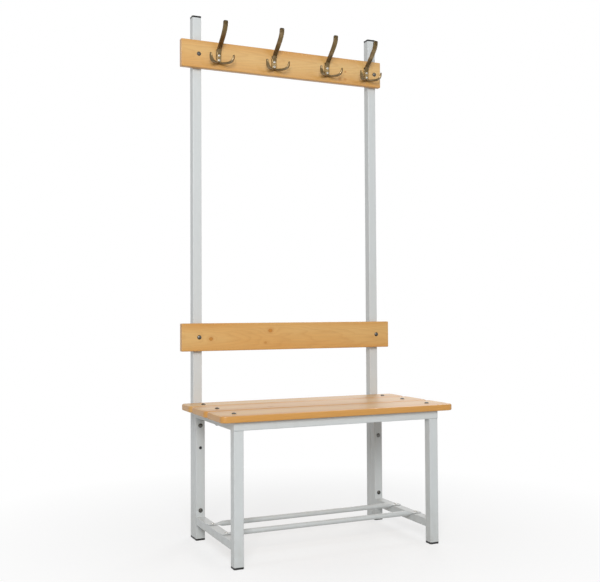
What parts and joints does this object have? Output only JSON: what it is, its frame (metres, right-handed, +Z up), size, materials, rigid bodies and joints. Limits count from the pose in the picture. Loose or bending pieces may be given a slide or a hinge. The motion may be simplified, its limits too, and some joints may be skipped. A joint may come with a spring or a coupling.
{
  "type": "changing room bench",
  "caption": "Changing room bench: slatted pine seat on a square-tube steel frame, with tall rear posts, backrest board, hook board with coat hooks and a low shoe rack of round rods.",
  "frame": {"origin": "on the floor, below the middle of the whole bench's box", "axes": "+X along the bench to the right as seen by who faces its seat, +Y to the back, +Z up"},
  "size_m": [0.774, 0.441, 1.7],
  "materials": {
    "painted_steel": "light grey powder coat, satin",
    "lacquered_pine": "clear satin lacquer over knotty pine",
    "bronzed_metal": "dark bronzed plating, glossy",
    "zinc_plated": "zinc plated",
    "black_plastic": "matt moulded"
  },
  "bodies": {
    "root": {"backrest_board": "lacquered_pine", "board_bolts": "zinc_plated", "board_nuts": "zinc_plated", "coat_hook_1": "bronzed_metal", "coat_hook_2": "bronzed_metal", "coat_hook_3": "bronzed_metal", "coat_hook_4": "bronzed_metal", "front_rack_rod": "painted_steel", "front_seat_rail": "painted_steel", "front_seat_slat": "lacquered_pine", "hole_plug": "black_plastic", "hook_board": "lacquered_pine", "hook_screws": "zinc_plated", "left_front_leg": "painted_steel", "left_front_leg_foot_cap": "black_plastic", "left_lower_crossbar": "painted_steel", "left_rear_leg": "painted_steel", "left_rear_leg_foot_cap": "black_plastic", "left_top_cap": "black_plastic", "left_top_crossbar": "painted_steel", "left_upright": "painted_steel", "left_upright_foot_cap": "black_plastic", "leg_bolts": "zinc_plated", "leg_nuts": "zinc_plated", "middle_seat_slat": "lacquered_pine", "rack_screws": "zinc_plated", "rail_end_plates": "painted_steel", "rear_rack_rod": "painted_steel", "rear_seat_rail": "painted_steel", "rear_seat_slat": "lacquered_pine", "right_front_leg": "painted_steel", "right_front_leg_foot_cap": "black_plastic", "right_lower_crossbar": "painted_steel", "right_rear_leg": "painted_steel", "right_rear_leg_foot_cap": "black_plastic", "right_top_cap": "black_plastic", "right_top_crossbar": "painted_steel", "right_upright": "painted_steel", "right_upright_foot_cap": "black_plastic", "seat_bolts": "zinc_plated", "seat_nuts": "zinc_plated"}
  },
  "joints": []
}
